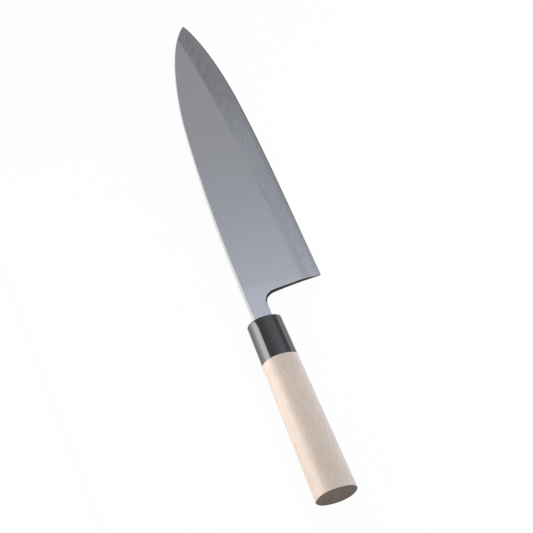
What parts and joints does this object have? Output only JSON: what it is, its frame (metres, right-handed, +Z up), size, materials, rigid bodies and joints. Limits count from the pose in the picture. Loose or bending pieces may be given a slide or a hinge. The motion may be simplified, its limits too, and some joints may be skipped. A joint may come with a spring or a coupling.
{
  "type": "salmon knife",
  "caption": "Right-handed single-bevel fish knife: a wide blade of soft iron over hard steel, tapering to a low tip, with a glossy black horn ferrule and an oval pale wooden handle.",
  "frame": {"origin": "under the middle of the knife's bounding box, level with the lowest point of the handle's oval as the knife is held level with its bevelled face up", "axes": "+X from the butt to the tip along the handle's axis, +Y from the cutting edge to the spine, +Z up out of the bevelled face"},
  "size_m": [0.4186, 0.077, 0.029],
  "materials": {
    "soft_iron": "soft iron: satin ground flat with fine scratches across it, a hazy stone-polished bevel, a bright spine and a dark choil",
    "hard_steel": "hard carbon steel: bright stone-polished edge strip and a hollow-ground back with a flat rim",
    "black_horn": "polished black buffalo horn with faint lighter streaks",
    "pale_wood": "bare pale magnolia, sanded, with fine grain along it and darker end grain"
  },
  "bodies": {
    "root": {"blade_iron": "soft_iron", "blade_steel": "hard_steel", "horn_ferrule": "black_horn", "wood_handle": "pale_wood"}
  },
  "joints": []
}
